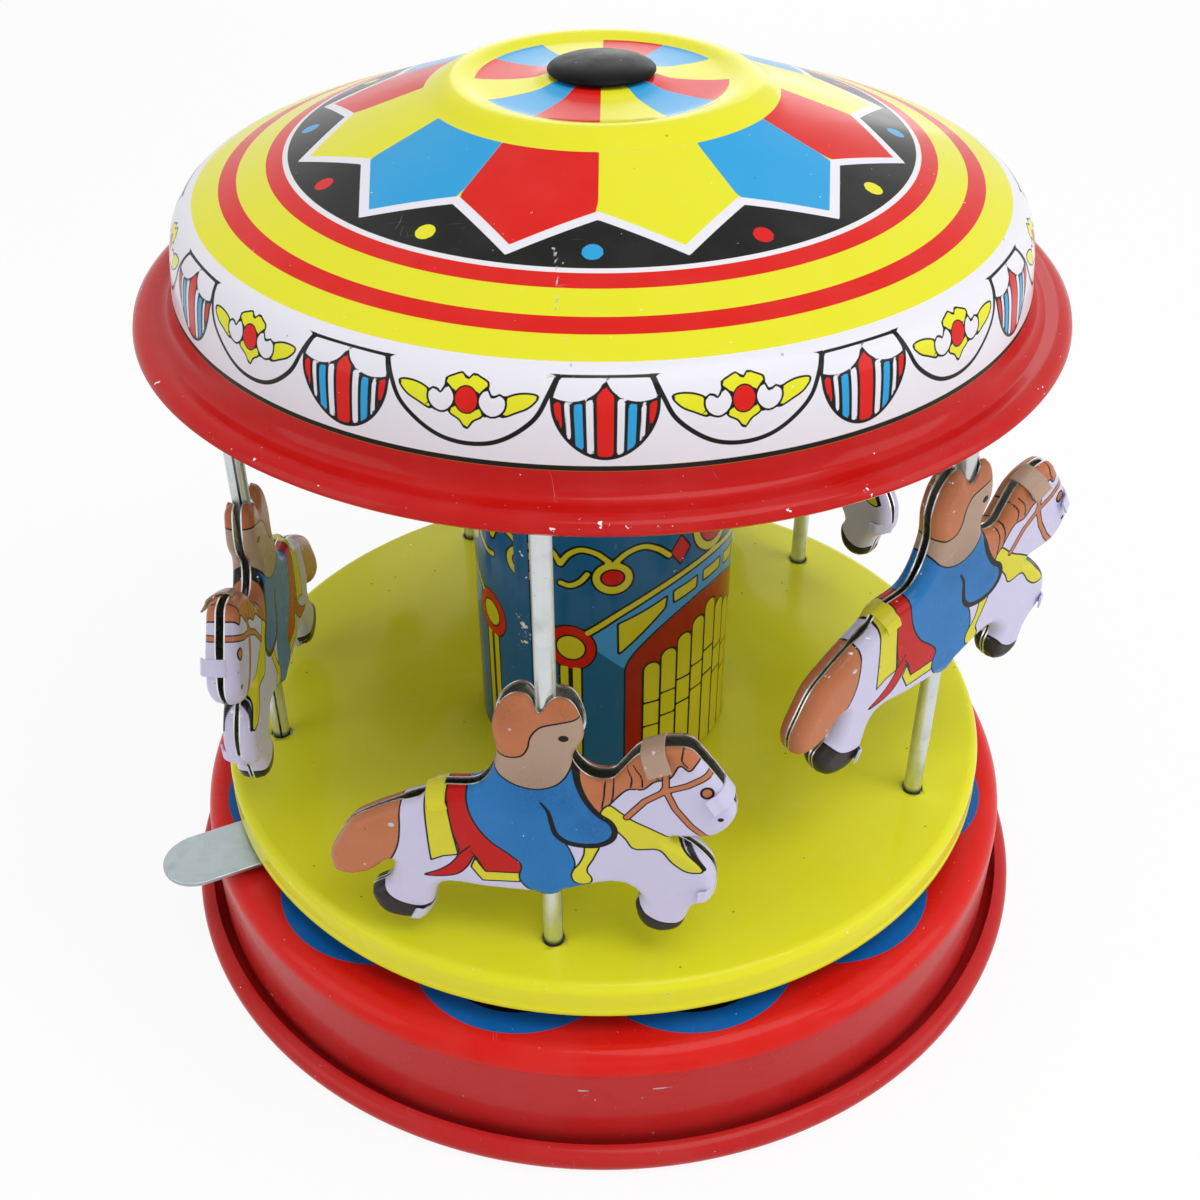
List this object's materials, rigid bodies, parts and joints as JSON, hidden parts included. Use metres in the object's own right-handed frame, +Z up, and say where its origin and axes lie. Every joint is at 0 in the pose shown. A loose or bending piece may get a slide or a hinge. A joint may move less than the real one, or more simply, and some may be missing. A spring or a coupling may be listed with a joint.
{
  "type": "tin toy carousel",
  "caption": "Printed tinplate toy carousel with horses and riders on poles round a column, turned by a flat finger lever at the base.",
  "frame": {"origin": "centre of the base on the surface that it stands on", "axes": "+Z up along the spindle, -Y to the front as pictured, so the lever points to -X and slightly -Y"},
  "size_m": [0.1674, 0.1674, 0.1613],
  "materials": {
    "red_paint": "glossy red paint with small chips",
    "yellow_paint": "glossy yellow paint",
    "canopy_print": "glossy printed tinplate in yellow, red, blue, black and white",
    "column_print": "glossy printed tinplate, blue ground",
    "horse_print": "glossy printed tinplate, white ground",
    "galvanised": "dull zinc",
    "plain_tin": "bare tinplate",
    "steel": "drawn steel",
    "brass": "turned brass",
    "black_plastic": "glossy black"
  },
  "bodies": {
    "base": {"base_shell": "red_paint", "base_bottom_plate": "plain_tin", "spindle_bush": "brass", "foot_bearing": "brass", "lever_stud": "steel", "lever_stop": "steel", "spring_post": "steel", "return_spring": "steel"},
    "carousel": {"spindle": "steel", "ratchet_wheel": "steel", "platform_hub": "plain_tin", "platform": "yellow_paint", "column": "column_print", "canopy": "canopy_print", "ceiling_ring": "plain_tin", "cap_nut": "black_plastic", "pole_1": "galvanised", "pole_2": "galvanised", "pole_3": "galvanised", "pole_4": "galvanised", "pole_5": "galvanised"},
    "lever": {"finger_lever": "galvanised"},
    "pinion": {"drive_pinion": "brass", "click": "steel"},
    "slider_1": {"pole_sleeve_1": "steel"},
    "horse_1": {"horse_right_half_1": "horse_print", "horse_left_half_1": "horse_print"},
    "slider_2": {"pole_sleeve_2": "steel"},
    "horse_2": {"horse_right_half_2": "horse_print", "horse_left_half_2": "horse_print"},
    "slider_3": {"pole_sleeve_3": "steel"},
    "horse_3": {"horse_right_half_3": "horse_print", "horse_left_half_3": "horse_print"},
    "slider_4": {"pole_sleeve_4": "steel"},
    "horse_4": {"horse_right_half_4": "horse_print", "horse_left_half_4": "horse_print"},
    "slider_5": {"pole_sleeve_5": "steel"},
    "horse_5": {"horse_right_half_5": "horse_print", "horse_left_half_5": "horse_print"}
  },
  "joints": [
    {"name": "carousel_spin", "type": "hinge", "parent": "base", "child": "carousel", "pos_m": [0, 0, 0.03], "axis": [0, 0, 1], "continuous": true},
    {"name": "lever_swing", "type": "hinge", "parent": "base", "child": "lever", "pos_m": [-0.03775, -0.01841, 0.0267], "axis": [0, 0, 1], "range_deg": [-28, 0], "stiffness_Nm_per_rad": 0.04, "springref_deg": 11.46, "deforming": ["return_spring"]},
    {"name": "pinion_spin", "type": "hinge", "parent": "base", "child": "pinion", "pos_m": [0, 0, 0.027], "axis": [0, 0, 1], "range_deg": [-10, 235]},
    {"name": "horse_1_slide", "type": "slide", "parent": "carousel", "child": "slider_1", "axis": [0, 0, 1], "range_m": [-0.003, 0.0328]},
    {"name": "horse_1_swivel", "type": "hinge", "parent": "slider_1", "child": "horse_1", "pos_m": [-0.00836, -0.06265, 0.06], "axis": [0, 0, 1], "continuous": true},
    {"name": "horse_2_slide", "type": "slide", "parent": "carousel", "child": "slider_2", "axis": [0, 0, 1], "range_m": [-0.0195, 0.0163]},
    {"name": "horse_2_swivel", "type": "hinge", "parent": "slider_2", "child": "horse_2", "pos_m": [0.057, -0.02731, 0.06], "axis": [0, 0, 1], "continuous": true},
    {"name": "horse_3_slide", "type": "slide", "parent": "carousel", "child": "slider_3", "axis": [0, 0, 1], "range_m": [-0.009, 0.0268]},
    {"name": "horse_3_swivel", "type": "hinge", "parent": "slider_3", "child": "horse_3", "pos_m": [0.04358, 0.04577, 0.06], "axis": [0, 0, 1], "continuous": true},
    {"name": "horse_4_slide", "type": "slide", "parent": "carousel", "child": "slider_4", "axis": [0, 0, 1], "range_m": [-0.0123, 0.0235]},
    {"name": "horse_4_swivel", "type": "hinge", "parent": "slider_4", "child": "horse_4", "pos_m": [-0.03006, 0.05559, 0.06], "axis": [0, 0, 1], "continuous": true},
    {"name": "horse_5_slide", "type": "slide", "parent": "carousel", "child": "slider_5", "axis": [0, 0, 1], "range_m": [-0.003, 0.0328]},
    {"name": "horse_5_swivel", "type": "hinge", "parent": "slider_5", "child": "horse_5", "pos_m": [-0.06216, -0.01141, 0.06], "axis": [0, 0, 1], "continuous": true}
  ],
  "couplings": [
    {"joint": "pinion_spin", "follows": "lever_swing", "ratio": -6}
  ]
}
